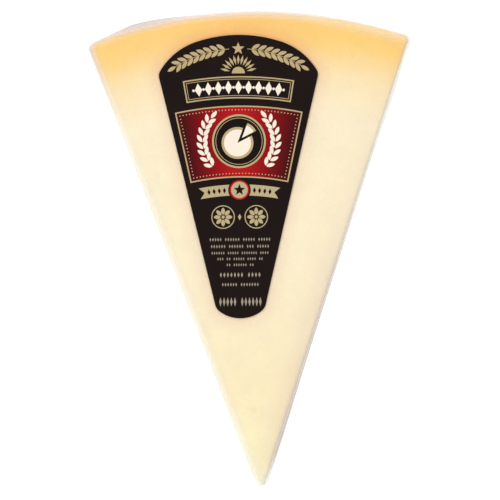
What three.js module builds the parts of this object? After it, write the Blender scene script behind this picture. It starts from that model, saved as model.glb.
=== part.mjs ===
// A wedge of parmesan, cut from a slab of a round wheel and sealed in clear shrink film, with a
// die-cut paper label stuck on its upper face. It lies flat, with the rind towards +Y and the tip
// towards -Y. Millimetres and degrees, +Z up. The origin is in the middle of the box that holds the
// wedge, on the surface that it lies on.
//
// The wedge and its label are first laid out from the wheel's axis, with the wedge's middle line along
// +Y, and the finished group is then moved so that its origin is in the middle.

import * as THREE from "three";

// The cheese
const WHEEL_RADIUS = 155.6; // from the wheel's axis to the rind
const WEDGE_ANGLE = 38.9; // between the two cut sides
const CUT_WIDTH = 0.6; // of the wire: each cut side is set back by half of it
const THICKNESS = 24; // of the slab that the wedge was cut from
const TIP_RADIUS = 1.8; // the blunt tip, seen from above
const CORNER_RADIUS = 1.6; // where a cut side meets the rind, seen from above
const EDGE_RADIUS = 1.6; // along the upper and lower edges, which the film has pressed round
const LEAST_RADIUS = 0.5; // of the tip and the corners where the outline is drawn in
const RIND_BULGE = 0.3; // how far the rind swells out at half its height

// The film's weld, a thin fin round the wedge at half its height
const WELD_ROOT = 0.7; // the fin's thickness where it leaves the wall
const WELD_RIM = 0.3; // and at its outer edge
const WELD_REACH = 0.4; // how far it stands out from the wall
const SLACK_REACH = 1.4; // how much further the fin stands out where the film is slackest
const SLACK_ANGLE = 13.1; // that place on the rind, from the wedge's middle line towards -X
const SLACK_TO_CORNER = 8; // how far from there it has mostly died away towards the corner
const SLACK_TO_MIDDLE = 15; // and towards the middle

// The label
const LABEL_THICKNESS = 0.25;
const LABEL_LENGTH = 90.6; // from crown to foot
const CROWN_RADIUS = 43; // the head is a three-centred arch: a flat crown
const CROWN_ANGLE = 18.5; // turned through on each side of the crown's middle
const HAUNCH_RADIUS = 21; // and a tighter arc on each side, down to the straight sides
const HAUNCH_ANGLE = 44; // turned through by each of those
const FOOT_RADIUS = 11; // the foot is a shallow arc
const FOOT_WIDTH = 15.6; // between the lower ends of the straight sides
const LABEL_CORNER = 1.2; // how far from each corner its rounding starts
const LABEL_FOOT_AT = [-4.96, 58.3]; // middle of the foot, from the wheel's axis
const LABEL_TILT = -1.04; // about +Z

// How finely round forms are cut into facets
const RIND_STEPS = 36;
const SIDE_STEPS = 14;
const TIP_STEPS = 10;
const CORNER_STEPS = 6;
const EDGE_STEPS = 4;
const WALL_STEPS = 3;
const LABEL_ARC_STEPS = 14;

const radians = THREE.MathUtils.degToRad;
const degrees = THREE.MathUtils.radToDeg;
const halfAngle = WEDGE_ANGLE / 2;
const axis = new THREE.Vector2(0, 0);

// A point at this distance from a centre, in the direction of an angle from +X.
function polar(centre, radius, angle) {
  const turn = radians(angle);
  return new THREE.Vector2(centre.x + radius * Math.cos(turn), centre.y + radius * Math.sin(turn));
}

// ---- The wedge ----

// The wedge's outline drawn in by an inset, counter-clockwise seen from above, as points with their
// outward directions. Each corner's radius shrinks by the inset, down to the least one.
function wedgeOutline(inset) {
  const setBack = CUT_WIDTH / 2 + inset;
  const rind = WHEEL_RADIUS - inset;
  const tip = Math.max(LEAST_RADIUS, TIP_RADIUS - inset);
  const corner = Math.max(LEAST_RADIUS, CORNER_RADIUS - inset);
  const tipCentre = polar(axis, (tip + setBack) / Math.sin(radians(halfAngle)), 90);
  const cornerAngle = halfAngle - degrees(Math.asin((corner + setBack) / (rind - corner)));
  const right = 90 - cornerAngle;
  const left = 90 + cornerAngle;
  const rightCentre = polar(axis, rind - corner, right);
  const leftCentre = polar(axis, rind - corner, left);
  const arcs = [
    { centre: tipCentre, radius: tip, steps: TIP_STEPS, from: halfAngle - 180, to: -halfAngle },
    { centre: rightCentre, radius: corner, steps: CORNER_STEPS, from: -halfAngle, to: right },
    { centre: axis, radius: rind, steps: RIND_STEPS, from: right, to: left },
    { centre: leftCentre, radius: corner, steps: CORNER_STEPS, from: left, to: 180 + halfAngle },
  ];
  const outline = [];
  for (const arc of arcs) {
    const first = polar(arc.centre, arc.radius, arc.from);
    const last = outline.at(-1);
    if (last && last.at.distanceTo(first) < 1e-6) outline.pop();
    else if (last) addSide(outline, last, first);
    for (let i = 0; i <= arc.steps; i++) {
      const angle = arc.from + ((arc.to - arc.from) * i) / arc.steps;
      outline.push({ at: polar(arc.centre, arc.radius, angle), out: polar(axis, 1, angle) });
    }
  }
  addSide(outline, outline.at(-1), outline[0].at);
  return outline;
}

// Points along a straight side, between the end of one arc and the start of the next.
function addSide(outline, last, first) {
  for (let i = 1; i < SIDE_STEPS; i++) {
    outline.push({ at: last.at.clone().lerp(first, i / SIDE_STEPS), out: last.out });
  }
}

const outline = wedgeOutline(0);

// Other places where the fin stands out further, or less, by this much, and how far from there that has
// mostly died away
const ears = [
  { at: new THREE.Vector2(1.2, 4), reach: 0.4, width: 1.6 }, // the tip
  { at: polar(axis, 18, 90 - halfAngle), reach: 0.4, width: 22 }, // the +X side, near the tip
  { at: polar(axis, 137, 90 - halfAngle), reach: 0.5, width: 12 }, // the same side, near the rind
  { at: polar(axis, 153.5, 90 - halfAngle), reach: 0.35, width: 2.5 }, // next to the +X corner
  { at: polar(axis, WHEEL_RADIUS, 75), reach: -0.25, width: 14 }, // the rind, from there to its middle
  { at: polar(axis, WHEEL_RADIUS, 90), reach: 0.25, width: 22 }, // the middle of the rind
  { at: polar(axis, WHEEL_RADIUS, 90 + halfAngle), reach: -0.3, width: 3 }, // the -X corner
  { at: polar(axis, 137, 90 + halfAngle), reach: 0.4, width: 10 }, // the -X side, near the rind
  { at: polar(axis, 6.5, 90 + halfAngle), reach: -0.3, width: 3 }, // the same side, near the tip
];
const slackAt = polar(axis, WHEEL_RADIUS, 90 + SLACK_ANGLE);
const bell = (away, width) => Math.exp(-((away / width) ** 2));

// How far the weld's fin stands out at a point of the outline.
function weldReach({ at }) {
  const slackWidth = at.x < slackAt.x ? SLACK_TO_CORNER : SLACK_TO_MIDDLE;
  let reach = WELD_REACH + SLACK_REACH * bell(slackAt.distanceTo(at), slackWidth);
  for (const ear of ears) {
    const nearest = Math.min(...outline.map((spot) => spot.at.distanceTo(ear.at)));
    reach += ear.reach * bell(ear.at.distanceTo(at) - nearest, ear.width);
  }
  return reach;
}

// How far the rind swells out at a height.
function swell({ at, out }, z) {
  if (out.y <= 0) return 0;
  const across = Math.min(1, Math.abs(at.x) / (WHEEL_RADIUS * Math.sin(radians(halfAngle))));
  return RIND_BULGE * Math.sqrt(1 - across ** 2) * (1 - ((2 * z) / THICKNESS - 1) ** 2);
}

// The rings of the wedge's surface from its lower face to its upper one, each a height, how far its
// outline is drawn in, and whether the weld stands out there.
function wedgeRings() {
  const lower = [];
  for (let i = 0; i < EDGE_STEPS; i++) {
    const turn = radians((90 * i) / EDGE_STEPS);
    lower.push({ z: EDGE_RADIUS * (1 - Math.cos(turn)), inset: EDGE_RADIUS * (1 - Math.sin(turn)) });
  }
  const weldFoot = (THICKNESS - WELD_ROOT) / 2;
  for (let i = 0; i <= WALL_STEPS; i++) {
    lower.push({ z: EDGE_RADIUS + ((weldFoot - EDGE_RADIUS) * i) / WALL_STEPS, inset: 0 });
  }
  lower.push({ z: (THICKNESS - WELD_RIM) / 2, inset: 0, weld: true });
  return [...lower, ...lower.map((ring) => ({ ...ring, z: THICKNESS - ring.z })).reverse()];
}

// A closed surface through the rings, with a flat cap on each end.
function wedgeGeometry() {
  const rings = wedgeRings();
  const positions = [];
  for (const { z, inset, weld } of rings) {
    for (const spot of wedgeOutline(inset)) {
      const reach = swell(spot, z) + (weld ? weldReach(spot) : 0);
      const { x, y } = spot.at.clone().addScaledVector(spot.out, reach);
      positions.push(x, y, z);
    }
  }
  const round = outline.length;
  const faces = [];
  for (let ring = 0; ring + 1 < rings.length; ring++) {
    for (let i = 0; i < round; i++) {
      const a = ring * round + i;
      const b = ring * round + ((i + 1) % round);
      faces.push(a, b, b + round, a, b + round, a + round);
    }
  }
  const face = wedgeOutline(EDGE_RADIUS).map(({ at }) => at);
  const cap = THREE.ShapeUtils.triangulateShape(face, []);
  const top = (rings.length - 1) * round;
  for (const [a, b, c] of cap) faces.push(a, c, b, top + a, top + b, top + c);
  const geometry = new THREE.BufferGeometry();
  geometry.setAttribute("position", new THREE.Float32BufferAttribute(positions, 3));
  geometry.setIndex(faces);
  geometry.computeVertexNormals();
  return geometry;
}

// ---- The label ----

// The label's outline about its own middle line, with the middle of its foot at the origin.
function labelShape() {
  const footCentre = new THREE.Vector2(0, FOOT_RADIUS);
  const footHalf = degrees(Math.asin(FOOT_WIDTH / 2 / FOOT_RADIUS));
  const footCorner = polar(footCentre, FOOT_RADIUS, -90 + footHalf);
  const crownCentre = new THREE.Vector2(0, LABEL_LENGTH - CROWN_RADIUS);
  const haunchCentre = polar(crownCentre, CROWN_RADIUS - HAUNCH_RADIUS, 90 - CROWN_ANGLE);
  const haunchEnd = 90 - CROWN_ANGLE - HAUNCH_ANGLE;
  const shoulder = polar(haunchCentre, HAUNCH_RADIUS, haunchEnd);
  const alongSide = shoulder.clone().sub(footCorner).setLength(LABEL_CORNER);
  const haunchRound = degrees(LABEL_CORNER / HAUNCH_RADIUS);
  const footRound = degrees(LABEL_CORNER / FOOT_RADIUS);
  const mirrored = ({ x, y }) => new THREE.Vector2(-x, y);

  const shape = new THREE.Shape();
  const line = ({ x, y }) => shape.lineTo(x, y);
  const corner = (at, end) => shape.quadraticCurveTo(at.x, at.y, end.x, end.y);
  const arc = (centre, radius, from, to) =>
    shape.absarc(centre.x, centre.y, radius, radians(from), radians(to), false);

  arc(footCentre, FOOT_RADIUS, -90 - footHalf + footRound, -90 + footHalf - footRound);
  corner(footCorner, footCorner.clone().add(alongSide));
  line(shoulder.clone().sub(alongSide));
  corner(shoulder, polar(haunchCentre, HAUNCH_RADIUS, haunchEnd + haunchRound));
  arc(haunchCentre, HAUNCH_RADIUS, haunchEnd + haunchRound, 90 - CROWN_ANGLE);
  arc(crownCentre, CROWN_RADIUS, 90 - CROWN_ANGLE, 90 + CROWN_ANGLE);
  arc(mirrored(haunchCentre), HAUNCH_RADIUS, 90 + CROWN_ANGLE, 180 - haunchEnd - haunchRound);
  corner(mirrored(shoulder), mirrored(shoulder.clone().sub(alongSide)));
  line(mirrored(footCorner.clone().add(alongSide)));
  corner(mirrored(footCorner), polar(footCentre, FOOT_RADIUS, -90 - footHalf + footRound));
  return shape;
}

// ---- The part ----

function mesh(name, geometry, finish) {
  const made = new THREE.Mesh(geometry, new THREE.MeshStandardMaterial(finish));
  made.name = name;
  return made;
}

const wedge = mesh("wrapped_cheese", wedgeGeometry(), { color: 0xfcedcb, roughness: 0.3, metalness: 0 });

const label = mesh(
  "label",
  new THREE.ExtrudeGeometry(labelShape(), {
    depth: LABEL_THICKNESS,
    bevelEnabled: false,
    curveSegments: LABEL_ARC_STEPS,
  }),
  { color: 0x211b19, roughness: 0.4, metalness: 0 },
);
label.position.set(LABEL_FOOT_AT[0], LABEL_FOOT_AT[1], THICKNESS);
label.rotation.z = radians(LABEL_TILT);

const part = new THREE.Group();
part.add(wedge, label);
const box = new THREE.Box3().setFromObject(part, true);
part.position.set(-(box.min.x + box.max.x) / 2, -(box.min.y + box.max.y) / 2, 0);

export default part;
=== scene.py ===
"""A wedge of parmesan in clear shrink film, with a printed die-cut label on its upper face.

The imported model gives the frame: the sealed wedge and its label, lying flat, in metres. The sealed wedge
is replaced by the cheese and the film round it. The label's sheet stays, and its print is laid on it.
"""

import math
import random

import bmesh
import bpy
from bpy.props import FloatProperty, FloatVectorProperty, PointerProperty
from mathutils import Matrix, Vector
from mathutils.bvhtree import BVHTree


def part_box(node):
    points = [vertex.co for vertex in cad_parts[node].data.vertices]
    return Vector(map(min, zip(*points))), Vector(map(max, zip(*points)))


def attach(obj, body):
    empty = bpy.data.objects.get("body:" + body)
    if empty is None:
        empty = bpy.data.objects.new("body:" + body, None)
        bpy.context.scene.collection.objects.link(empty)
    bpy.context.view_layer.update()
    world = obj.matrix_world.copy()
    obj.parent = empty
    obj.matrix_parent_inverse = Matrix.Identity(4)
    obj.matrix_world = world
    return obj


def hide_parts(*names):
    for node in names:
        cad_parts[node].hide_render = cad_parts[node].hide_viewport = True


bl_info = {
    "name": "Sealed cheese wedge",
    "version": (1, 0, 0),
    "blender": (4, 5, 0),
    "location": "View3D > Sidebar > Wedge",
    "description": "Models a wedge of hard cheese in clear film, with a printed label",
    "category": "Add Mesh",
}

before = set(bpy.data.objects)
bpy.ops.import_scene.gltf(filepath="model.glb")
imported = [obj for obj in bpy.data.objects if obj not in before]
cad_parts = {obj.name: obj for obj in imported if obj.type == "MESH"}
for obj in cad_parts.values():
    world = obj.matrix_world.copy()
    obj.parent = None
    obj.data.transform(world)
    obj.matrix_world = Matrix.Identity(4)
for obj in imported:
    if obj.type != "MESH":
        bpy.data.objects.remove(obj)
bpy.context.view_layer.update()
sealed_low, sealed_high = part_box("wrapped_cheese")
label_low, label_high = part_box("label")

MM = 0.001
BODY = "root"
UP = Vector((0, 0, 1))


def srgb(red, green, blue):
    """A colour given in 0 to 255 as on a screen, as the linear values that Blender's colours hold."""
    shares = [value / 255 for value in (red, green, blue)]
    return tuple(c / 12.92 if c <= 0.04045 else ((c + 0.055) / 1.055) ** 2.4 for c in shares)


# ---- Sizes and colours ----


def length(name, description, value):
    return FloatProperty(name=name, description=description, default=value * MM, unit="LENGTH")


def turn(name, description, degrees):
    return FloatProperty(name=name, description=description, default=math.radians(degrees), subtype="ANGLE")


def colour(name, description, *value):
    return FloatVectorProperty(
        name=name, description=description, default=srgb(*value), size=3, min=0, max=1, subtype="COLOR"
    )


class WedgeSizes(bpy.types.PropertyGroup):
    """The cheese and the film that is sealed round it."""

    wheel_radius: length("Wheel radius", "From the wheel's axis to the film on the rind", 155.6)
    wedge_angle: turn("Wedge angle", "Between the two cut sides", 38.9)
    set_back: length("Set back", "How far each cut side stands off the line through the axis", 0.3)
    tip_radius: length("Tip radius", "Of the blunt tip, seen from above", 1.8)
    corner_radius: length("Corner radius", "Where a cut side meets the rind, seen from above", 1.6)
    least_radius: length("Least radius", "Of the tip and the corners where they are drawn in", 0.5)
    edge_radius: length("Edge radius", "Along the upper and lower edges", 1.6)
    rind_bulge: length("Rind bulge", "How far the rind swells out at half its height", 0.3)
    # The reach of the painted shade on the paste round the label's edge.
    halo: length("Halo", "How far from the label the paste is tinted by it", 5.2)
    nick_left: length("Nick left", "From the middle line to a small nick in the paste, near the tip", 1.5)
    nick_from_axis: length("Nick from axis", "From the wheel's axis to that nick", 29)
    nick_size: length("Nick size", "How soon the nick's edges die away", 0.9)
    film_gap: length("Film gap", "Between the film's outer face and the cheese", 0.06)
    weld_root: length("Weld root", "Thickness of the weld's fin where it leaves the wall", 0.7)
    weld_rim: length("Weld rim", "Thickness of the fin at its outer edge", 0.3)
    weld_reach: length("Weld reach", "How far the fin stands out from the wall", 0.4)
    slack_reach: length("Slack reach", "How much further the fin stands out where the film is slackest", 1.4)
    slack_angle: turn("Slack angle", "From the middle line to that place on the rind, to the left", 13.1)
    slack_to_corner: length("Slack to corner", "How soon the slack dies away towards the corner", 8)
    slack_to_middle: length("Slack to middle", "How soon it dies away towards the middle", 15)


class LabelSizes(bpy.types.PropertyGroup):
    """The label and its print. Heights are above the middle of the label's foot."""

    tilt: turn("Tilt", "The label's turn about the upright axis", -1.04)
    foot_left: length("Foot left", "From the wedge's middle line to the middle of the label's foot", 4.96)
    foot_from_axis: length("Foot from axis", "From the wheel's axis to the middle of the label's foot", 58.3)
    shoulder_height: length("Shoulder height", "Where the label is widest", 77)
    taper_meets: length("Taper meets", "How far below the foot the two straight sides would meet", 29.4)
    ink: length("Ink", "Thickness of each layer of print", 0.02)
    rule: length("Rule", "Width of the heavy gold rules", 0.42)
    hairline: length("Hairline", "Width of the thin gold rules", 0.18)
    panel_low: length("Panel low", "From where the sides would meet to the red panel's lower edge", 74.4)
    panel_high: length("Panel high", "From there to its upper edge", 97.4)
    panel_half: turn("Panel half angle", "From the middle line to the panel's end", 12.1)
    emblem_height: length("Emblem height", "Of the middle of the round emblem", 56.6)
    emblem_radius: length("Emblem radius", "Of the round emblem's outer edge", 8.6)
    plaque_low: length("Plaque low", "From where the sides would meet to the plaque's lower edge", 99.7)
    plaque_high: length("Plaque high", "From there to its upper edge", 106.8)
    plaque_half: turn("Plaque half angle", "From the middle line to the plaque's end", 9.6)
    ribbon_low: length("Ribbon low", "From where the sides would meet to the ribbon's lower edge", 68.7)
    ribbon_high: length("Ribbon high", "From there to its upper edge", 72.2)
    ribbon_half: turn("Ribbon half angle", "From the middle line to the ribbon's tails", 10.4)
    garland_radius: length("Garland radius", "Of the garland's stem", 38.8)
    garland_centre: length("Garland centre", "Height of the point round which the garland bends", 47.4)
    rosette_height: length("Rosette height", "Of the middles of the two rosettes", 32.4)
    rosette_apart: length("Rosettes apart", "Between the middles of the two rosettes", 10.6)


class Finishes(bpy.types.PropertyGroup):
    """Colours as the material itself has them, in neutral light, and the tints and tones that paint light and
    shade onto the paste and into the film.
    """

    paste: colour("Paste", "The cut cheese", 246, 233, 201)
    paste_low: colour("Lower paste", "The paste a fifth of the way to the rind", 246, 231, 191)
    paste_tip: colour("Paste at the tip", "The paste that was nearest the wheel's axis", 248, 238, 195)
    golden: colour("Golden", "The paste just inside the rind", 247, 201, 114)
    golden_left: colour("Golden at the left", "The same, towards the left corner", 246, 207, 124)
    golden_right: colour("Golden at the right", "The same, towards the right corner", 248, 206, 115)
    crystal: colour("Crystal", "Small pale grains in the paste", 255, 250, 232)
    # Painted shade on the paste round the label's edge, as tints.
    label_shade_tint: colour("Halo tint", "How the label tints the paste at its edge", 250, 242, 245)
    golden_label_shade_tint: colour("Golden halo tint", "How it tints the golden paste as well", 255, 241, 246)
    nick_tint: colour("Nick tint", "How the paste darkens in the small nick", 245, 241, 234)
    # Painted shade on the paste towards the right side, away from the light, as a tint.
    right_shade_tint: colour("Right tint", "How the paste darkens towards the right side", 245, 240, 247)
    rind: colour("Rind", "The outside of the wheel", 236, 184, 108)
    haze: colour("Haze", "Film that is drawn cloudy round an edge", 240, 244, 244)
    # Warm tones painted in for the cheese's light seen through the cloudy film, round the rind.
    rind_haze_glow: colour("Haze at the rind", "The same, round the rind", 243, 233, 218)
    rim_haze_glow: colour("Haze at the right of the rind", "The same, towards the right corner", 255, 240, 200)
    # Painted shade in the film along the lower right side, as darker tones.
    side_shade_haze: colour("Haze at the side", "The same, along the lower right side's edge", 225, 215, 215)
    right_fin_shade: colour("Haze in the right fin", "The same, in the fin along that side", 186, 152, 118)
    # A painted dark line of shade along the slack film's outer crease.
    crease_shade: colour("Crease", "The slack film's outer edge", 200, 193, 194)
    slack_haze: colour("Haze where slack", "The same, where the film is slackest", 216, 211, 213)
    # Painted light from the cheese seen through the fin, where it leaves the rind.
    weld_root_glow: colour("Haze at the weld's root", "The same, where the fin leaves the rind", 240, 208, 176)
    tip_haze: colour("Haze at the tip", "The same, round the tip", 249, 246, 229)
    black: colour("Label ground", "The label's dark ground", 26, 18, 16)
    red: colour("Red", "The middle of the label's panel", 172, 25, 28)
    mid_red: colour("Middle red", "Half way to the panel's ends", 126, 17, 22)
    dark_red: colour("Dark red", "The panel's two ends", 69, 16, 18)
    gold: colour("Gold", "Rules and ornaments", 180, 159, 118)
    pale_gold: colour("Pale gold", "The ribbon and the rosettes", 178, 162, 124)
    cream: colour("Cream", "The brightest print", 234, 222, 204)
    dim_cream: colour("Dim cream", "The small print", 152, 141, 122)
    floor: colour("Floor", "The pale floor", 150, 150, 150)


def wedge():
    return bpy.context.scene.wedge_sizes


def label():
    return bpy.context.scene.label_sizes


def finishes():
    return bpy.context.scene.wedge_finishes


def label_foot():
    """The middle of the label's foot, on top of the sheet."""
    middle = (label_low.x + label_high.x) / 2
    return Vector((middle + label().shoulder_height * math.sin(label().tilt), label_low.y, label_high.z))


def middle_height():
    """Half the sealed wedge's thickness, where the film's weld runs."""
    return (sealed_low.z + sealed_high.z) / 2


def wheel_axis():
    """Where the wheel's axis stands on the floor."""
    foot = label_foot()
    return Vector((foot.x + label().foot_left, foot.y - label().foot_from_axis, 0))


def about_axis(radius, angle):
    """A point on the floor, this far from the wheel's axis and turned to the left of the middle line."""
    return wheel_axis() + Vector((-math.sin(angle), math.cos(angle), 0)) * radius


# ---- Modelling ----


def deselect():
    bpy.ops.object.select_all(action="DESELECT")


def make_active(obj):
    deselect()
    obj.select_set(True)
    bpy.context.view_layer.objects.active = obj


def select_all():
    """In edit mode, selects the whole shape."""
    bpy.ops.mesh.select_all(action="SELECT")


def enter_edit():
    """Into edit mode, with the whole of the active shape selected."""
    bpy.ops.object.mode_set(mode="EDIT")
    select_all()


def leave_edit():
    bpy.ops.object.mode_set(mode="OBJECT")


def merge_within(distance):
    """In edit mode, merges points that are nearer to each other than this."""
    select_all()
    bpy.ops.mesh.remove_doubles(threshold=distance)


def turn_faces_out():
    """In edit mode, makes every face point outwards."""
    select_all()
    bpy.ops.mesh.normals_make_consistent(inside=False)


def put_point(at):
    """Adds one selected point, from which lines and arcs are drawn. In edit mode it joins the same mesh."""
    if bpy.context.mode == "EDIT_MESH":
        bpy.ops.mesh.select_all(action="DESELECT")
    bpy.ops.mesh.primitive_plane_add(size=MM, enter_editmode=True, location=(0, 0, 0))
    bpy.ops.mesh.select_mode(type="VERT")
    bpy.ops.mesh.merge(type="CENTER")
    bpy.ops.transform.translate(value=at)


def point(name, at):
    """A new object in edit mode that holds one selected point."""
    deselect()
    put_point(at)
    bpy.context.object.name = name
    return bpy.context.object


def draw_line(by):
    """Draws what is selected along a straight line."""
    bpy.ops.mesh.extrude_region_move(TRANSFORM_OT_translate={"value": by})


def draw_arc(centre, angle, steps):
    """Draws what is selected round a centre, counter-clockwise seen from above."""
    bpy.ops.mesh.spin(steps=steps, angle=angle, center=centre, axis=-UP)


def pick(obj, kind, wanted):
    """In edit mode, selects just the vertices, edges or faces that wanted says yes to."""
    bpy.ops.mesh.select_mode(type=kind)
    bpy.ops.mesh.select_all(action="DESELECT")
    shape = bmesh.from_edit_mesh(obj.data)
    for item in {"VERT": shape.verts, "EDGE": shape.edges, "FACE": shape.faces}[kind]:
        item.select_set(wanted(item))
    bmesh.update_edit_mesh(obj.data)


def cut_through(direction, places):
    """Cuts everything by a plane across a direction at each of these distances along it."""
    for place in places:
        select_all()
        bpy.ops.mesh.bisect(plane_co=direction * place, plane_no=direction)


def spread(low, high, gap):
    """Evenly spaced places strictly between two others, about this far apart."""
    count = max(1, round((high - low) / gap))
    return [low + (high - low) * i / count for i in range(1, count)]


def apply_modifier(obj, kind, **settings):
    """Adds a modifier with these settings, and applies it."""
    make_active(obj)
    modifier = obj.modifiers.new(kind.title(), kind)
    for name, value in settings.items():
        setattr(modifier, name, value)
    bpy.ops.object.modifier_apply(modifier=modifier.name)


def push_out(obj, depth, share):
    """Moves each point along its normal by its share, from 0 to 1, of a depth."""
    group = obj.vertex_groups.new(name="share")
    for vertex in obj.data.vertices:
        amount = share(vertex.co, vertex.normal)
        if amount > 0:
            group.add([vertex.index], min(1, amount), "REPLACE")
    apply_modifier(obj, "DISPLACE", direction="NORMAL", mid_level=0, strength=depth, vertex_group=group.name)
    obj.vertex_groups.clear()


def roughen(obj, size, depth):
    """Moves the surface inwards by up to a depth, in soft lumps of this size."""
    lumps = bpy.data.textures.new(obj.name, "CLOUDS")
    lumps.noise_scale = size
    apply_modifier(
        obj, "DISPLACE", texture=lumps, texture_coords="LOCAL", direction="NORMAL",
        mid_level=1, strength=depth,
    )


def bell(away, width):
    """From 1 at a place to nearly 0 at twice this width from it."""
    return math.exp(-((away / width) ** 2))


def near(at, place):
    """How far a point is from a place, seen from above."""
    return math.hypot(at.x - place.x, at.y - place.y)


# ---- Shader sums ----


class Flow:
    """An output of a shader node. Sums written with it add Math nodes, and node adds any other node."""

    def __init__(self, tree, socket=None):
        self.tree = tree
        self.socket = socket

    def node(self, kind, settings=None, inputs=None, output=0):
        """Adds a node, sets it up, feeds its inputs with values or other outputs, and gives an output."""
        made = self.tree.nodes.new(kind)
        for name, value in (settings or {}).items():
            if name == "stops":
                set_stops(made.color_ramp, value)
            else:
                setattr(made, name, value)
        for name, value in (inputs or {}).items():
            socket = made.inputs[name]
            if isinstance(value, Flow):
                self.tree.links.new(value.socket, socket)
            else:
                socket.default_value = (*value, 1) if socket.type == "RGBA" else value
        return Flow(self.tree, made.outputs[output] if made.outputs else None)

    def math(self, operation, *values):
        return self.node("ShaderNodeMath", {"operation": operation}, dict(enumerate(values)))

    def clamped(self):
        """The same sum, held between 0 and 1."""
        self.socket.node.use_clamp = True
        return self

    def __add__(self, other):
        return self.math("ADD", self, other)

    def __radd__(self, other):
        return self.math("ADD", other, self)

    def __sub__(self, other):
        return self.math("SUBTRACT", self, other)

    def __rsub__(self, other):
        return self.math("SUBTRACT", other, self)

    def __mul__(self, other):
        return self.math("MULTIPLY", self, other)

    def __rmul__(self, other):
        return self.math("MULTIPLY", other, self)

    def __truediv__(self, other):
        return self.math("DIVIDE", self, other)

    def __rtruediv__(self, other):
        return self.math("DIVIDE", other, self)

    def __pow__(self, other):
        return self.math("POWER", self, other)

    def __rpow__(self, other):
        return self.math("POWER", other, self)


def set_stops(scale, stops):
    """Sets up a colour ramp, from pairs of a place on it and a grey or a colour."""
    while len(scale.elements) < len(stops):
        scale.elements.new(1)
    for element, (place, value) in zip(scale.elements, stops):
        element.position = place
        element.color = (*value, 1) if hasattr(value, "__len__") else (value, value, value, 1)


def material(name):
    """A new material without nodes, and a Flow to build them with."""
    made = bpy.data.materials.new(name)
    made.use_nodes = True
    made.node_tree.nodes.clear()
    return made, Flow(made.node_tree)


def show(flow, surface):
    flow.node("ShaderNodeOutputMaterial", inputs={"Surface": surface})


def object_place(flow, origin=(0, 0, 0), turned=0.0):
    """Object coordinates from this origin, along axes turned by this angle about the upright one."""
    place = flow.node("ShaderNodeTexCoord", output="Object")
    inputs = {"Vector": place, "Location": origin, "Rotation": (0, 0, turned)}
    return flow.node("ShaderNodeMapping", {"vector_type": "TEXTURE"}, inputs)


def along(axis, place):
    """A place's distance along the X, Y or Z axis."""
    return place.node("ShaderNodeSeparateXYZ", inputs={"Vector": place}, output=axis)


def noise(place, size, detail=2.0, roughness=0.5):
    """A soft random pattern from 0 to 1, whose lumps are about this size."""
    inputs = {"Vector": place, "Scale": 1 / size, "Detail": detail, "Roughness": roughness}
    return place.node("ShaderNodeTexNoise", inputs=inputs)


def ramp(value, stops):
    """The grey or the colour for a value, between those given at these stops."""
    return value.node("ShaderNodeValToRGB", {"stops": stops}, {"Fac": value})


def blend(share, first, second, how="MIX"):
    """One colour over another. At least one of the three comes from another node."""
    flow = next(value for value in (share, first, second) if isinstance(value, Flow))
    settings = {"data_type": "RGBA", "blend_type": how}
    return flow.node("ShaderNodeMix", settings, {0: share, 6: first, 7: second}, output=2)


def tinted(body, share, tint):
    """A colour that takes on a tint, by this share."""
    return blend(share, body, tint, "MULTIPLY")


def bump(height, depth, strength):
    return height.node("ShaderNodeBump", inputs={"Height": height, "Distance": depth, "Strength": strength})


def bell_of(away, width):
    """From 1 at a place, or beyond it, to nearly 0 at twice this width from it."""
    share = away.math("MAXIMUM", away, 0.0) / width
    return away.math("EXPONENT", share * share * -1.0)


def measure(operation, first, second=(0, 0, 0)):
    """A single value from two vectors."""
    inputs = {0: first, 1: second}
    return first.node("ShaderNodeVectorMath", {"operation": operation}, inputs, output="Value")


def inside_sides(place):
    """How far a place is inside the left side, the right side and the rind, and from the wheel's axis."""
    sizes = wedge()
    flat = place.node("ShaderNodeVectorMath", {"operation": "MULTIPLY"}, {0: place, 1: (1, 1, 0)})
    across, up = math.cos(sizes.wedge_angle / 2), math.sin(sizes.wedge_angle / 2)
    left = measure("DOT_PRODUCT", flat, (across, up, 0)) - sizes.set_back
    right = measure("DOT_PRODUCT", flat, (-across, up, 0)) - sizes.set_back
    from_axis = measure("LENGTH", flat)
    return left, right, sizes.wheel_radius - from_axis, from_axis


def scaled(value, share):
    return tuple(c * share for c in value)


# ---- Finishes ----


# How far the paste has turned golden, by distance from the wheel's axis as a share of its radius.
RIPENING = ((0.803, 0), (0.861, 0.2), (0.887, 0.33), (0.913, 0.55), (0.939, 0.83), (0.956, 0.95), (0.977, 1))

# How much painted shade the film and the paste get along the right side, by distance from the wheel's axis as
# a share of its radius.
SHADE_DOWN_RIGHT = ((0.04, 0.1), (0.1, 1.0), (0.45, 0.9), (0.75, 0.25), (1.0, 0.0))

# How far out to the left and to the right of the middle line the tones near the rind go on changing.
LEFT_CHANGE = 42 * MM
RIGHT_CHANGE = 30 * MM

# How much of the light the clear film lets through, and how much it mirrors face on and at a glance.
FILM_CLEAR = 0.97
MIRROR_FACE_ON = 0.05
MIRROR_GLANCING = 0.45

# How cloudy the film is round the edges of the left side, the rind, the upper left corner and the tip, how
# much painted shade it takes round the right side, and how cloudy it is in the weld's fin. Round the left
# side it is partly cloudy film and partly painted sheen from the light on that side. 0 is clear and 1 is
# solid.
CLOUDY_AND_LIT_LEFT = 0.43
CLOUDY_RIND = 0.5
CLOUDY_CORNER = 0.4
CLOUDY_TIP = 0.55
SHADE_RIGHT = 0.2
CLOUDY_FIN = 0.22


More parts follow.
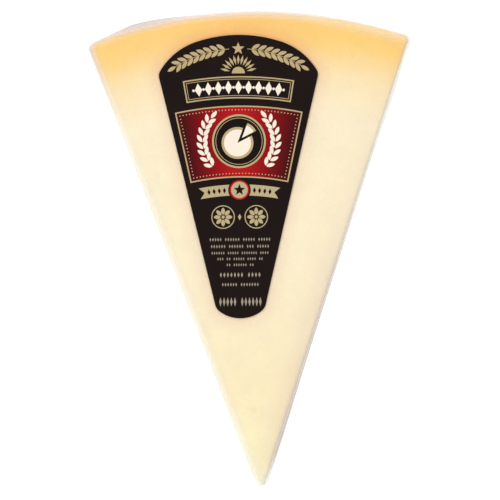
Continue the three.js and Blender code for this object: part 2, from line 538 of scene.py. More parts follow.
def cheese_finish():
    """Paste that turns golden towards the rind, with faint mottling, fine grain and a few pale crystals."""
    made, flow = material("cheese_paste")
    colours = finishes()
    sizes = wedge()
    place = object_place(flow, wheel_axis())
    _, from_right, from_rind, from_axis = inside_sides(place)
    outward = from_axis / sizes.wheel_radius

    # The paste, by its distance from the wheel's axis.
    wander = (noise(place, 26 * MM) - 0.5) * (4 * MM)
    ripe = ramp((from_axis + wander) / sizes.wheel_radius, RIPENING)
    to_left = (along("X", place) / -LEFT_CHANGE).clamped()
    to_right = (along("X", place) / RIGHT_CHANGE).clamped()
    golden = blend(to_left, colours.golden, colours.golden_left)
    golden = blend(to_right, golden, colours.golden_right)
    paste = ramp(outward, [(0.12, colours.paste_tip), (0.22, colours.paste_low), (0.5, colours.paste)])
    body = blend(ripe, paste, golden)

    # Its texture.
    mottle = noise(place, 7 * MM, detail=3.0)
    body = tinted(body, 1.0, ramp(mottle, [(0.3, 0.965), (0.7, 1.0)]))
    grain = noise(place, 0.9 * MM, detail=3.0, roughness=0.6)
    body = tinted(body, 1.0, ramp(grain, [(0.35, 0.97), (0.6, 1.0)]))
    cells = {"Vector": place, "Scale": 1 / (5 * MM)}
    from_seed = flow.node("ShaderNodeTexVoronoi", inputs=cells, output="Distance")
    crystals = ramp(from_seed, [(0.05, 1.0), (0.1, 0.0)]) * 0.12
    body = blend(crystals, body, colours.crystal)

    # Painted shade round the label that lies on the paste and towards the paste's right side, and the
    # darkening in the small nick.
    halo = flow.node("ShaderNodeAttribute", {"attribute_name": "halo"}, output="Fac")
    body = tinted(body, halo * (0.8 + mottle * 0.4), colours.label_shade_tint)
    body = tinted(body, halo * halo * ripe, colours.golden_label_shade_tint)
    # Painted shade towards the right side, strongest in the half nearer the tip.
    right_side_shade = bell_of(from_right, 5.5 * MM) * (0.2 + 0.8 * ramp(outward, SHADE_DOWN_RIGHT))
    body = tinted(body, right_side_shade, colours.right_shade_tint)
    nick_at = Vector((-sizes.nick_left, sizes.nick_from_axis, 0)) + UP * sealed_high.z
    nick = bell_of(measure("DISTANCE", place, nick_at), sizes.nick_size)
    body = tinted(body, nick * 0.8, colours.nick_tint)

    # The rind, a thin skin on the outer wall.
    off_middle = flow.math("ABSOLUTE", along("Z", place) - middle_height())
    on_wall = ((middle_height() - 0.75 * sizes.edge_radius - off_middle) / (1 * MM)).clamped()
    skin = (1.0 - from_rind / (1.2 * MM)).clamped() * on_wall
    weathered = noise(place, 5 * MM, detail=5.0, roughness=0.65)
    bark = blend(weathered, scaled(colours.rind, 0.8), scaled(colours.rind, 1.12))
    body = blend(skin * (0.6 + weathered * 0.4), body, bark)

    height = grain * 0.5 + mottle + crystals + skin * weathered - nick
    surface = flow.node(
        "ShaderNodeBsdfPrincipled",
        inputs={
            "Base Color": body,
            "Roughness": 0.5 + grain * 0.2,
            "Normal": bump(height, 0.12 * MM, 0.5),
            "IOR": 1.4,
            "Specular IOR Level": 0.3,
            "Subsurface Weight": 0.3,
            "Subsurface Radius": (1.0, 0.7, 0.4),
            "Subsurface Scale": 1.5 * MM,
        },
    )
    show(flow, surface)
    return made


def film_finish():
    """Clear film: a mirror that shows at glancing angles, clouded round the edges and hazy in the weld, with
    painted sheen at the left, painted shade at the right and painted light from the cheese in its haze.
    """
    made, flow = material("clear_film")
    sizes = wedge()
    place = object_place(flow, wheel_axis())
    off_weld = flow.math("ABSOLUTE", along("Z", place) - middle_height())

    # Ripples all over, with upright puckers towards the weld.
    ripple = noise(place, 9 * MM)
    fine = noise(place, 1.6 * MM)
    upright = flow.node("ShaderNodeMapping", inputs={"Vector": place, "Scale": (1, 1, 0.12)})
    pucker = noise(upright, 2.4 * MM, detail=3.0, roughness=0.6)
    near_weld = (1.0 - off_weld * (1.15 / middle_height())).clamped()
    lean = bump(ripple + fine * 0.12 + pucker * near_weld * 0.6, 0.25 * MM, 0.6)

    clear = flow.node("ShaderNodeBsdfTransparent", inputs={"Color": (FILM_CLEAR, FILM_CLEAR, FILM_CLEAR)})
    mirror = flow.node(
        "ShaderNodeBsdfPrincipled",
        inputs={"Base Color": (1, 1, 1), "Metallic": 1.0, "Roughness": 0.12 + fine * 0.08, "Normal": lean},
    )
    facing = flow.node("ShaderNodeLayerWeight", inputs={"Blend": 0.5, "Normal": lean}, output="Facing")
    gloss = MIRROR_FACE_ON + MIRROR_GLANCING * facing**4.0
    film = flow.node("ShaderNodeMixShader", inputs={0: gloss, 1: clear, 2: mirror})

    root, rim = sizes.weld_root / 2, sizes.weld_rim / 2
    weld = ((root - off_weld) / (root - rim)).clamped()
    cloudy, tone = film_haze(place, off_weld, weld, ripple, fine)
    haze = flow.node(
        "ShaderNodeBsdfPrincipled",
        inputs={"Base Color": tone, "Roughness": 0.3 + fine * 0.1, "Specular IOR Level": 0.3, "Normal": lean},
    )
    show(flow, flow.node("ShaderNodeMixShader", inputs={0: cloudy, 1: film, 2: haze}))
    return made


def film_haze(place, off_weld, weld, ripple, fine):
    """How cloudy the film is at a place, with painted shade and painted light in it, and its tone. The weld
    goes from 0 at its root to 1 at its rim.
    """
    sizes = wedge()
    colours = finishes()

    # Where a place is, each from 0 to 1.
    from_left, from_right, from_rind, from_axis = inside_sides(place)
    slack_at = about_axis(sizes.wheel_radius, sizes.slack_angle) - wheel_axis() + UP * middle_height()
    slack = bell_of(measure("DISTANCE", place, slack_at), 1.2 * sizes.slack_to_middle)
    near_rind = bell_of(from_rind, 3 * MM)
    near_tip = bell_of(from_axis - 4 * MM, 3 * MM)
    near_corner = bell_of(from_left, 1.4 * MM) * bell_of(from_rind, 18 * MM)
    # Where the film takes painted shade along the right side.
    shade_down_right = ramp(from_axis / sizes.wheel_radius, SHADE_DOWN_RIGHT)
    right_edge_shade = shade_down_right * bell_of(from_right, 3 * MM)
    to_right = (along("X", place) / RIGHT_CHANGE).clamped()
    in_fin = (weld * 12.0).clamped()
    on_wall = ((middle_height() - sizes.edge_radius - off_weld) / (2 * MM)).clamped()

    # Round the upper and lower edges: pale at the left, the rind and the tip, where the pale at the left is
    # partly painted sheen from the light on that side; painted shade at the right.
    left = (CLOUDY_AND_LIT_LEFT - 0.28 * bell_of(from_rind, 20 * MM)) * bell_of(from_left, 2.2 * MM)
    rind = (CLOUDY_RIND - slack * 0.25) * bell_of(from_rind, 1.1 * MM + to_right * (1.2 * MM))
    pale = (left + rind + CLOUDY_CORNER * near_corner + CLOUDY_TIP * near_tip) * (0.75 + ripple * 0.5)
    painted_right_shade = bell_of(from_right, 1.0 * MM) * (SHADE_RIGHT + SHADE_RIGHT * shade_down_right)
    edge_haze_light_and_shade = (pale + painted_right_shade) * (1.0 - on_wall * (1.0 - near_rind) * 0.75) * (1.0 - in_fin)

    # In the fin: clearer towards its rim, with painted shade along the right side and a crease, painted as a
    # dark line, where the film is slack.
    fin = CLOUDY_FIN + near_rind * 0.15 + right_edge_shade * 0.25 + slack * 0.15 + fine * 0.1
    fin = fin * (1.0 - weld * (0.75 - near_rind * 0.3 - slack * 0.25)) * (1.0 - near_tip * 0.4)
    fin = fin * (1.0 - to_right * near_rind * 0.15)
    # Where the slack fin creases towards its rim, painted as a dark line of shade.
    crease_shade = ((weld - 0.6) * 2.5).clamped() * slack
    cloudy = (edge_haze_light_and_shade + (fin + crease_shade * 0.1) * in_fin).clamped()

    # The tone: painted light from the cheese at the rind, painted shade at the right side, the slack, painted
    # light from the cheese at the weld's root, a painted dark line at the crease, and the tip in turn.
    rind_glow_tone = blend(to_right * (1.0 - in_fin), colours.rind_haze_glow, colours.rim_haze_glow)
    right_shade_tone = blend(in_fin, colours.side_shade_haze, colours.right_fin_shade)
    at_slack = place.math("MAXIMUM", slack, near_corner)
    root_glow_share = place.math("MAXIMUM", in_fin, on_wall) * bell_of(0.0 - from_rind, 0.7 * MM)
    tone = blend(near_rind, colours.haze, rind_glow_tone)
    tone = blend(right_edge_shade, tone, right_shade_tone)
    tone = blend(at_slack, tone, colours.slack_haze)
    tone = blend(root_glow_share * near_rind * (1.0 - to_right), tone, colours.weld_root_glow)
    tone = blend(crease_shade, tone, colours.crease_shade)
    return cloudy, blend(near_tip, tone, colours.tip_haze)


def printed(made, body, fibre, breaking):
    """Ends a material as varnished paper, whose fibres break up the sheen by this much."""
    surface = body.node(
        "ShaderNodeBsdfPrincipled",
        inputs={
            "Base Color": body,
            "Roughness": 0.36 + fibre * breaking,
            "Specular IOR Level": 0.04,
            "Normal": bump(fibre, 0.02 * MM, 0.4),
        },
    )
    show(body, surface)
    return made


def label_finish():
    """The label's dark ground, faintly clouded."""
    made, flow = material("label_sheet")
    place = object_place(flow)
    fibre = noise(place, 0.5 * MM, detail=4.0, roughness=0.6)
    cloud = noise(place, 11 * MM)
    black = finishes().black
    body = blend(0.35 * fibre + 0.5 * cloud, scaled(black, 0.8), scaled(black, 1.5))
    return printed(made, body, fibre, 0.1)


def ink_finish(name, value):
    """Printing ink, slightly uneven over the sheet's fibres."""
    made, flow = material(name)
    place = object_place(flow)
    fibre = noise(place, 0.4 * MM, detail=4.0, roughness=0.6)
    cloud = noise(place, 5 * MM)
    body = blend(0.5 * fibre + 0.5 * cloud, scaled(value, 0.86), scaled(value, 1.08))
    return printed(made, body, fibre, 0.12)


def red_finish():
    """The panel's ink, bright in the middle and dark at both ends."""
    made, flow = material("red_panel_ink")
    colours = finishes()
    place = object_place(flow, label_foot(), label().tilt)
    from_fan = label().taper_meets + along("Y", place)
    across = along("X", place) / from_fan / math.tan(label().panel_half)
    stops = [(0.1, colours.red), (0.55, colours.mid_red), (0.9, colours.dark_red)]
    shade = ramp(flow.math("ABSOLUTE", across), stops)
    fibre = noise(place, 0.4 * MM, detail=4.0, roughness=0.6)
    return printed(made, tinted(shade, 1.0, ramp(fibre, [(0.3, 0.88), (0.7, 1.0)])), fibre, 0.12)


# ---- The wedge ----


# How many straight steps stand for each curve.
CORNER_STEPS = 6
TIP_STEPS = 12
EDGE_STEPS = 6
CHEESE_RIND_STEPS = 96
FILM_RIND_STEPS = 120

# The sizes of the cheese's and the film's faces, how near to each other points of a shell are merged, how
# exactly its heights are compared, and the least angle that keeps a sharp edge between two faces.
CHEESE_GRID = 0.7 * MM
FILM_GRID = 1.25 * MM
SHELL_MERGE = 0.005 * MM
HEIGHT_MARGIN = 0.01 * MM
SHARP = math.radians(40)

# The cheese's unevenness: the size of the lumps and how deep they go, in millimetres.
LUMPS = ((14, 0.14), (2.2, 0.07))


def draw_outline(inset, height, rind_steps):
    """Draws the wedge's outline at a height, drawn in by an inset, with its rind in this many steps."""
    sizes = wedge()
    half = sizes.wedge_angle / 2
    quarter = math.pi / 2
    axis = wheel_axis() + UP * height
    set_back = sizes.set_back + inset
    rind_radius = sizes.wheel_radius - inset
    tip_radius = max(sizes.least_radius, sizes.tip_radius - inset)
    corner_radius = max(sizes.least_radius, sizes.corner_radius - inset)
    to_corner = rind_radius - corner_radius
    corner_angle = half - math.asin((corner_radius + set_back) / to_corner)
    corner_turn = quarter + half - corner_angle
    tip_centre = axis + Vector((0, (tip_radius + set_back) / math.sin(half), 0))
    left_centre = about_axis(to_corner, corner_angle) + UP * height
    right_centre = about_axis(to_corner, -corner_angle) + UP * height
    left_out = Vector((-math.cos(half), -math.sin(half), 0))
    right_out = Vector((math.cos(half), -math.sin(half), 0))

    put_point(about_axis(rind_radius, -corner_angle) + UP * height)
    draw_arc(axis, 2 * corner_angle, rind_steps)
    draw_arc(left_centre, corner_turn, CORNER_STEPS)
    draw_line(tip_centre + left_out * tip_radius - (left_centre + left_out * corner_radius))
    draw_arc(tip_centre, 2 * (quarter - half), TIP_STEPS)
    draw_line(right_centre + right_out * corner_radius - (tip_centre + right_out * tip_radius))
    draw_arc(right_centre, corner_turn, CORNER_STEPS)


def wedge_shell(name, gap, wall_heights, rind_steps):
    """A closed shell in edit mode, this far inside the sealed wedge, with rings up its wall."""
    low, high = sealed_low.z + gap, sealed_high.z - gap
    edge = wedge().edge_radius - gap
    lower = []
    for i in range(EDGE_STEPS + 1):
        turned = math.pi / 2 * i / EDGE_STEPS
        lower.append((low + edge * (1 - math.cos(turned)), gap + edge * (1 - math.sin(turned))))
    upper = [(low + high - height, inset) for height, inset in reversed(lower)]
    rings = lower + [(height, gap) for height in wall_heights] + upper

    deselect()
    for height, inset in rings:
        draw_outline(inset, height, rind_steps)
    obj = bpy.context.object
    obj.name = name
    bpy.ops.mesh.select_mode(type="EDGE")
    merge_within(SHELL_MERGE)
    bpy.ops.mesh.bridge_edge_loops()
    pick(obj, "EDGE", lambda edge: edge.is_boundary)
    bpy.ops.mesh.fill_holes(sides=0)
    turn_faces_out()
    return obj


def swell(at, normal):
    """The share of the rind's bulge at a place on the wall."""
    sizes = wedge()
    on_rind = normal.y >= 0.3 and abs(normal.z) <= 0.7
    if not on_rind:
        return 0
    across = min(1, abs(at.x - wheel_axis().x) / (sizes.wheel_radius * math.sin(sizes.wedge_angle / 2)))
    up = (at.z - sealed_low.z) / (sealed_high.z - sealed_low.z)
    return math.sqrt(1 - across**2) * max(0, 1 - (2 * up - 1) ** 2)


# Small dents in the upper face, in millimetres: to the right of the wheel's axis, along the middle line, and
# the dent's radius.
DENTS = ((-1.9, 34.9, 0.9), (-29.5, 104.8, 1.1), (33.9, 141.5, 0.9))
DENT_DEPTH = 0.35 * MM


def dent(at, normal):
    """The share of a dent's depth at a place on the upper face."""
    faces_up = normal.z >= 0.5
    if not faces_up:
        return 0
    axis = wheel_axis()
    places = [(axis + Vector((x, y, 0)) * MM, width * MM) for x, y, width in DENTS]
    return max(bell(near(at, place), width) for place, width in places)


def mark_label_shade(obj):
    """Writes how near each point is to the label, from 1 at it to 0 far from it, as its share of the painted
    shade round the label.
    """
    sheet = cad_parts["label"].data
    places = [vertex.co for vertex in sheet.vertices]
    tree = BVHTree.FromPolygons(places, [face.vertices for face in sheet.polygons])
    halo = obj.data.attributes.new("halo", "FLOAT", "POINT")
    for vertex, entry in zip(obj.data.vertices, halo.data):
        away = tree.find_nearest(vertex.co)[3]
        entry.value = max(0, 1 - away / wedge().halo)


def build_cheese():
    sizes = wedge()
    obj = wedge_shell("cheese", sizes.film_gap, [], CHEESE_RIND_STEPS)
    leave_edit()
    obj.data.remesh_voxel_size = CHEESE_GRID
    bpy.ops.object.voxel_remesh()
    push_out(obj, sizes.rind_bulge, swell)
    for size, depth in LUMPS:
        roughen(obj, size * MM, depth * MM)
    push_out(obj, -DENT_DEPTH, dent)
    mark_label_shade(obj)
    bpy.ops.object.shade_smooth()
    obj.data.materials.append(cheese_finish())
    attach(obj, BODY)
    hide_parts("wrapped_cheese")


# Where the weld's fin stands out further, or less, in millimetres: the distance from the wheel's axis, the
# angle to the left of the middle line as a share of half the wedge's, how much, and how far from there most
# of it has died away.
EARS = (
    (4.2, -0.86, 0.4, 1.6),
    (18, -1, 0.4, 22),
    (137, -1, 0.5, 12),
    (153.5, -1, 0.35, 2.5),
    (155.6, -0.77, -0.25, 14),
    (155.6, 0, 0.25, 22),
    (155.6, 1, -0.3, 3),
    (137, 1, 0.4, 10),
    (6.5, 1, -0.3, 3),
)


def build_film():
    sizes = wedge()
    middle = middle_height()
    root = sizes.weld_root / 2
    rim = sizes.weld_rim / 2
    fin = [middle - root, middle - rim, middle + rim, middle + root]
    obj = wedge_shell("film", 0, fin, FILM_RIND_STEPS)
    bpy.ops.mesh.select_mode(type="VERT")
    cut_through(Vector((1, 0, 0)), spread(sealed_low.x, sealed_high.x, FILM_GRID))
    cut_through(Vector((0, 1, 0)), spread(sealed_low.y, sealed_high.y, FILM_GRID))
    cut_through(UP, spread(sealed_low.z + sizes.edge_radius, middle - root, FILM_GRID))
    cut_through(UP, spread(middle + root, sealed_high.z - sizes.edge_radius, FILM_GRID))
    leave_edit()

    push_out(obj, sizes.rind_bulge, swell)
    half = sizes.wedge_angle / 2
    foot = root + HEIGHT_MARGIN
    walls = [vertex.co for vertex in obj.data.vertices if abs(vertex.co.z - middle) < foot]
    ears = []
    for from_axis, share, reach, width in EARS:
        place = about_axis(from_axis * MM, share * half)
        ears.append((place, reach * MM, width * MM, min(near(at, place) for at in walls)))
    slack_at = about_axis(sizes.wheel_radius, sizes.slack_angle)
    longest = sizes.weld_reach + sizes.slack_reach + sum(max(0, reach) for _, reach, _, _ in ears)

    def weld_share(at, normal):
        if abs(at.z - middle) > rim + HEIGHT_MARGIN:
            return 0
        slack_width = sizes.slack_to_corner if at.x < slack_at.x else sizes.slack_to_middle
        stands_out = sizes.weld_reach + sizes.slack_reach * bell(near(at, slack_at), slack_width)
        for place, reach, width, nearest in ears:
            stands_out += reach * bell(near(at, place) - nearest, width)
        return stands_out / longest

    push_out(obj, longest, weld_share)
    bpy.ops.object.shade_smooth_by_angle(angle=SHARP)
    obj.data.materials.append(film_finish())
    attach(obj, BODY)
    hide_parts("wrapped_cheese")


# ---- The label's print ----
#
# Each shape is drawn flat round the origin, which stands for the middle of the label's foot. Then it is given
# the thickness of a layer of ink and laid on the label.


# How near to each other points of a printed shape are merged.
PRINT_MERGE = 0.002 * MM


def close_outline():
    """Ends a drawn outline as one flat face."""
    merge_within(PRINT_MERGE)
    bpy.ops.mesh.edge_face_add()
    leave_edit()


def heading(angle):
    """The direction at this angle to the right of straight up."""
    return Vector((math.sin(angle), math.cos(angle), 0))


def fan_centre():
    """The point below the foot where the label's straight sides would meet."""
    return Vector((0, -label().taper_meets, 0))


def on_fan(radius, angle):
    return fan_centre() + heading(angle) * radius


def flat_disc(name, radius, sides=48):
    deselect()
    bpy.ops.mesh.primitive_circle_add(vertices=sides, radius=radius, fill_type="NGON")
    bpy.context.object.name = name
    return bpy.context.object


def lozenge(name, wide, high):
    obj = flat_disc(name, high / 2, sides=4)
    enter_edit()
    bpy.ops.transform.resize(value=(wide / high, 1, 1), center_override=(0, 0, 0))
    leave_edit()
    return obj


def star(name, radius):
    """A star of five points, with its notches drawn in to a share of its radius."""
    points, waist = 5, 0.42
    obj = flat_disc(name, radius, sides=2 * points)
    enter_edit()
    pick(obj, "VERT", lambda v: round(math.atan2(v.co.x, v.co.y) * points / math.pi) % 2)
    bpy.ops.transform.resize(value=(waist, waist, 1), center_override=(0, 0, 0))
    leave_edit()
    return obj


def leaf(name, long, wide):
    """A leaf that stands on the origin, pointed at both ends."""
    radius = (long**2 + wide**2) / (4 * wide)
    sweep = 2 * math.asin(long / 2 / radius)
    side_steps = 6
    obj = point(name, (0, 0, 0))
    draw_arc((wide / 2 - radius, long / 2, 0), sweep, side_steps)
    draw_arc((radius - wide / 2, long / 2, 0), sweep, side_steps)
    close_outline()
    return obj


def band(name, centre, inner, outer, first, last, steps=32):
    """The strip between two radii, from one heading to another further clockwise."""
    obj = point(name, centre + heading(first) * inner)
    draw_line(heading(first) * (outer - inner))
    select_all()
    draw_arc(centre, first - last, steps)
    merge_within(PRINT_MERGE)
    leave_edit()
    return obj


def ring(name, radius, width):
    return band(name, Vector(), radius - width, radius, 0, 2 * math.pi, steps=64)


def edge_strip(name, source, inside, width):
    """A strip this wide that runs round a flat shape, this far inside its edge."""
    obj = copy_of(source, name)
    make_active(obj)
    enter_edit()
    bpy.ops.mesh.select_mode(type="FACE")
    if inside:
        bpy.ops.mesh.inset(thickness=inside)
        bpy.ops.mesh.select_all(action="INVERT")
        bpy.ops.mesh.delete(type="FACE")
        select_all()
    bpy.ops.mesh.inset(thickness=width)
    bpy.ops.mesh.delete(type="FACE")
    leave_edit()
    return obj


def copy_of(source, name):
    copy = source.copy()
    copy.data = source.data.copy()
    copy.name = name
    bpy.context.collection.objects.link(copy)
    return copy


def placed(shape, at):
    shape.location = at
    return shape


def joined(name, *parts):
    """Several shapes as one, with their places in the mesh."""
    deselect()
    for part in parts:
        part.select_set(True)
    bpy.context.view_layer.objects.active = parts[0]
    bpy.ops.object.transform_apply(location=True, rotation=True, scale=True)
    if len(parts) > 1:
        bpy.ops.object.join()
    parts[0].name = name
    return parts[0]


def stamped(name, shape, places):
    """Copies of a flat shape at each place with its heading, joined. The shape itself goes."""
    copies = []
    for at, angle in places:
        copy = placed(copy_of(shape, name), at)
        copy.rotation_euler.z = -angle
        copies.append(copy)
    bpy.data.objects.remove(shape)
    return joined(name, *copies)


def ink(name):
    """The material of an ink, made when it is first used."""
    found = bpy.data.materials.get(name + "_ink")
    return found or ink_finish(name + "_ink", getattr(finishes(), name))


def lay_print(obj, finish, level=0):
    """Gives a flat shape its thickness, and lays it on the label above this many layers of ink."""
    make_active(obj)
    enter_edit()
    bpy.ops.mesh.extrude_region_move(TRANSFORM_OT_translate={"value": UP * label().ink})
    turn_faces_out()
    leave_edit()
    obj.location = label_foot() + UP * (label().ink * level)
    obj.rotation_euler.z = label().tilt
    bpy.ops.object.transform_apply(location=True, rotation=True, scale=True)
    obj.data.materials.append(finish)
    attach(obj, BODY)


def sprig(name, centre, radius, first, last, grain):
    """Pairs of leaves along an arc, from one heading to another, that lean towards the second."""
    pairs = 8
    onward = math.copysign(math.pi / 2, last - first)
    lean = math.radians(33)
    off_stem = 0.25 * MM
    places = []
    for i in range(pairs):
        angle = first + (last - first) * i / pairs
        at = centre + heading(angle) * radius
        for side in (-1, 1):
            turned = angle + onward + side * lean
            places.append((at + heading(turned) * off_stem, turned))
    places.append((centre + heading(last) * radius, last + onward))
    return stamped(name, grain, places)


def build_garland():
    sizes = label()
    centre = Vector((0, sizes.garland_centre, 0))
    inner, outer = math.radians(6), math.radians(31)
    before_leaves = 0.03
    thread = sizes.hairline / 2
    low, high = sizes.garland_radius - thread, sizes.garland_radius + thread
    parts = []
    for side in (-1, 1):
        grain = leaf("leaf", long=3.1 * MM, wide=1.2 * MM)
        parts.append(sprig("garland", centre, sizes.garland_radius, side * inner, side * outer, grain))
        ends = sorted((side * (inner - before_leaves), side * outer))
        parts.append(band("stem", centre, low, high, *ends))
    knot = placed(star("knot", radius=2.1 * MM), centre + heading(0) * sizes.garland_radius)
    lay_print(joined("garland", *parts, knot), ink("gold"))

    above_plaque, to_rays = 0.9 * MM, 4.4 * MM
    foot = on_fan(sizes.plaque_high + above_plaque, 0)
    quarter = math.pi / 2
    disc = band("sun", foot, inner=0, outer=2.1 * MM, first=-quarter, last=quarter, steps=24)
    angles = [math.radians(15 * i) for i in range(-5, 6)]
    rays = [(foot + heading(angle) * to_rays, angle) for angle in angles]
    beams = stamped("rays", lozenge("ray", wide=0.85 * MM, high=3.2 * MM), rays)
    lay_print(joined("rising_sun", disc, beams), ink("gold"))


def build_plaque():
    sizes = label()
    low, high, half = sizes.plaque_low, sizes.plaque_high, sizes.plaque_half
    field = band("field", fan_centre(), low, high, -half, half)
    heavy = edge_strip("heavy", field, 0, sizes.rule)
    fine = edge_strip("fine", field, 2 * sizes.rule, sizes.hairline)
    bpy.data.objects.remove(field)
    lay_print(joined("plaque_rules", heavy, fine), ink("gold"))

    middle = (low + high) / 2
    step = math.radians(1.78)
    each_side = 4
    lozenges = [(on_fan(middle, i * step), i * step) for i in range(-each_side, each_side + 1)]
    dots = [(on_fan(middle, (i + 0.5) * step), 0) for i in range(-each_side - 1, each_side + 1)]
    row = stamped("row", lozenge("lozenge", wide=2.3 * MM, high=4.2 * MM), lozenges)
    beads = stamped("beads", flat_disc("bead", radius=0.42 * MM, sides=10), dots)
    lay_print(joined("plaque_lozenges", row, beads), ink("cream"))


def build_panel():
    sizes = label()
    low, high, half = sizes.panel_low, sizes.panel_high, sizes.panel_half
    field = band("red_panel", fan_centre(), low, high, -half, half, steps=48)
    heavy = edge_strip("panel_rule", field, 0, sizes.rule)
    lay_print(heavy, ink("gold"), level=1)

    inside = 1.35 * MM
    gap = 1.05 * MM
    places = []
    for radius in (low + inside, high - inside):
        ends = half - inside / radius
        count = round(2 * ends * radius / gap)
        places += [(on_fan(radius, -ends + 2 * ends * i / count), 0) for i in range(count + 1)]
    rows = round((high - low - 2 * inside) / gap)
    for i in range(1, rows):
        radius = low + inside + (high - low - 2 * inside) * i / rows
        ends = half - inside / radius
        places += [(on_fan(radius, -ends), 0), (on_fan(radius, ends), 0)]
    beads = stamped("panel_beads", flat_disc("bead", radius=0.2 * MM, sides=8), places)
    lay_print(beads, ink("gold"), level=1)
    lay_print(field, red_finish())


def build_emblem():
    sizes = label()
    middle = Vector((0, sizes.emblem_height, 0))
    radius = sizes.emblem_radius
    ground = placed(flat_disc("emblem_ground", radius, sides=64), middle)
    lay_print(joined("emblem_ground", ground), ink("black"), level=1)

    rim = placed(ring("rim", radius, width=0.6 * MM), middle)
    thread = placed(ring("thread", radius - 1.1 * MM, sizes.hairline), middle)
    lay_print(joined("emblem_rings", rim, thread), ink("gold"), level=2)

    wheel = 5.1 * MM
    rind = 0.8 * MM
    paste = wheel - rind
    toward = math.radians(42)
    cut = math.radians(21)
    pulled = heading(toward) * (2.1 * MM)
    centre = middle - pulled * 0.35
    last = toward + 2 * math.pi - cut
    layers = (("emblem_wheel", "cream", 0, paste), ("emblem_rind", "gold", paste, wheel))
    for name, shade, inner, outer in layers:
        whole = band("whole", centre, inner, outer, toward + cut, last, steps=48)
        piece = band("piece", centre + pulled, inner, outer, toward - cut, toward + cut, steps=8)
        lay_print(joined(name, whole, piece), ink(shade), level=2)

    wreath = []
    for side in (-1, 1):
        grain = leaf("grain", long=2.9 * MM, wide=1.25 * MM)
        ends = side * math.radians(134), side * math.radians(50)
        wreath.append(sprig("wheat", middle, radius + 3.0 * MM, *ends, grain))
    lay_print(joined("wheat_wreath", *wreath), ink("cream"), level=1)


def build_ribbon():
    sizes = label()
    low, high, half = sizes.ribbon_low, sizes.ribbon_high, sizes.ribbon_half
    notch = math.radians(1.3)
    steps = 32
    middle = (low + high) / 2
    obj = point("ribbon", on_fan(low, half))
    draw_arc(fan_centre(), 2 * half, steps)
    draw_line(on_fan(middle, notch - half) - on_fan(low, -half))
    draw_line(on_fan(high, -half) - on_fan(middle, notch - half))
    draw_arc(fan_centre(), -2 * half, steps)
    draw_line(on_fan(middle, half - notch) - on_fan(high, half))
    draw_line(on_fan(low, half) - on_fan(middle, half - notch))
    close_outline()
    lay_print(obj, ink("pale_gold"))

    first, step, each_side = 3.9, 1.35, 4
    angles = [side * math.radians(first + step * i) for side in (-1, 1) for i in range(each_side)]
    places = [(on_fan(middle, angle), angle) for angle in angles]
    row = stamped("ribbon_lozenges", lozenge("lozenge", wide=1.0 * MM, high=1.9 * MM), places)
    lay_print(row, ink("black"), level=1)

    centre = on_fan(middle, 0)
    discs = (("boss_edge", 3.6, "black"), ("boss_ring", 3.15, "red"), ("boss_face", 2.65, "pale_gold"))
    for level, (name, radius, shade) in enumerate(discs, start=1):
        disc = placed(flat_disc(name, radius * MM), centre)
        lay_print(joined(name, disc), ink(shade), level)
    mark = placed(star("boss_star", radius=1.95 * MM), centre)
    lay_print(joined("boss_star", mark), ink("black"), level=4)


def build_rosettes():
    sizes = label()
    turns = [math.radians(45 * i) for i in range(8)]
    off_centre = 0.75 * MM
    parts = []
    for side in (-1, 1):
        centre = Vector((side * sizes.rosette_apart / 2, sizes.rosette_height, 0))
        petals = [(centre + heading(angle) * off_centre, angle) for angle in turns]
        parts.append(stamped("petals", leaf("petal", long=2.25 * MM, wide=1.25 * MM), petals))
        parts.append(placed(flat_disc("hub", radius=0.5 * MM, sides=16), centre))
        parts.append(placed(ring("hoop", radius=3.75 * MM, width=0.3 * MM), centre))
    between = placed(lozenge("between", wide=1.1 * MM, high=2.0 * MM), (0, sizes.rosette_height, 0))
    lay_print(joined("rosettes", *parts, between), ink("pale_gold"))


# The rows of small print, in millimetres: height, half the row's length, and the lozenges' height and pitch.
SMALL_ROWS = (
    (25.2, 9.3, 1.25, 0.82),
    (23.0, 9.0, 1.25, 0.82),
    (20.9, 8.9, 1.05, 0.74),
    (19.0, 6.9, 1.05, 0.74),
    (17.1, 4.2, 1.05, 0.74),
    (13.9, 6.4, 1.7, 1.12),
    (10.8, 5.7, 1.25, 0.86),
)
LAST_ROW = (5.3, 6.4, 3.0, 1.16)

# The lozenges' widths as shares of their pitch.
SMALL_WIDTH = 0.62
LAST_WIDTH = 0.7

# Where the groups in the rows come from, and how many lozenges there are in each.
PRINT_SEED = 11
GROUP = (2, 7)


def row_places(height, half, pitch, order):
    """Places along a row in groups, with a gap after each group."""
    count = round(2 * half / pitch)
    places = []
    left = order.randint(*GROUP)
    for i in range(count + 1):
        if left == 0 and i < count - 1:
            left = order.randint(*GROUP)
            continue
        places.append((Vector(((i - count / 2) * pitch, height, 0)) * MM, 0))
        left = max(0, left - 1)
    return places


def print_row(name, row, share, order):
    """A row of lozenges in groups, each as wide as this share of their pitch."""
    height, half, high, pitch = row
    mark = lozenge("mark", wide=share * pitch * MM, high=high * MM)
    return stamped(name, mark, row_places(height, half, pitch, order))


def build_small_print():
    order = random.Random(PRINT_SEED)
    rows = [print_row("row", row, SMALL_WIDTH, order) for row in SMALL_ROWS]
    lay_print(joined("small_print", *rows), ink("dim_cream"))
    lay_print(print_row("foot_print", LAST_ROW, LAST_WIDTH, order), ink("dim_cream"))


# ---- The stage ----


# The camera: its lens and sensor in millimetres, how wide a stretch it takes in at this share of the label's
# height, where it looks, to the right of the wheel's axis and up from it, and its turn.
LENS = 1000
SENSOR = 36
VIEW_ACROSS = 160 * MM
VIEW_LEVEL = 0.75
VIEW_RIGHT = -1.36 * MM
VIEW_UP = 80.05 * MM
VIEW_TURN = math.radians(-1.55)

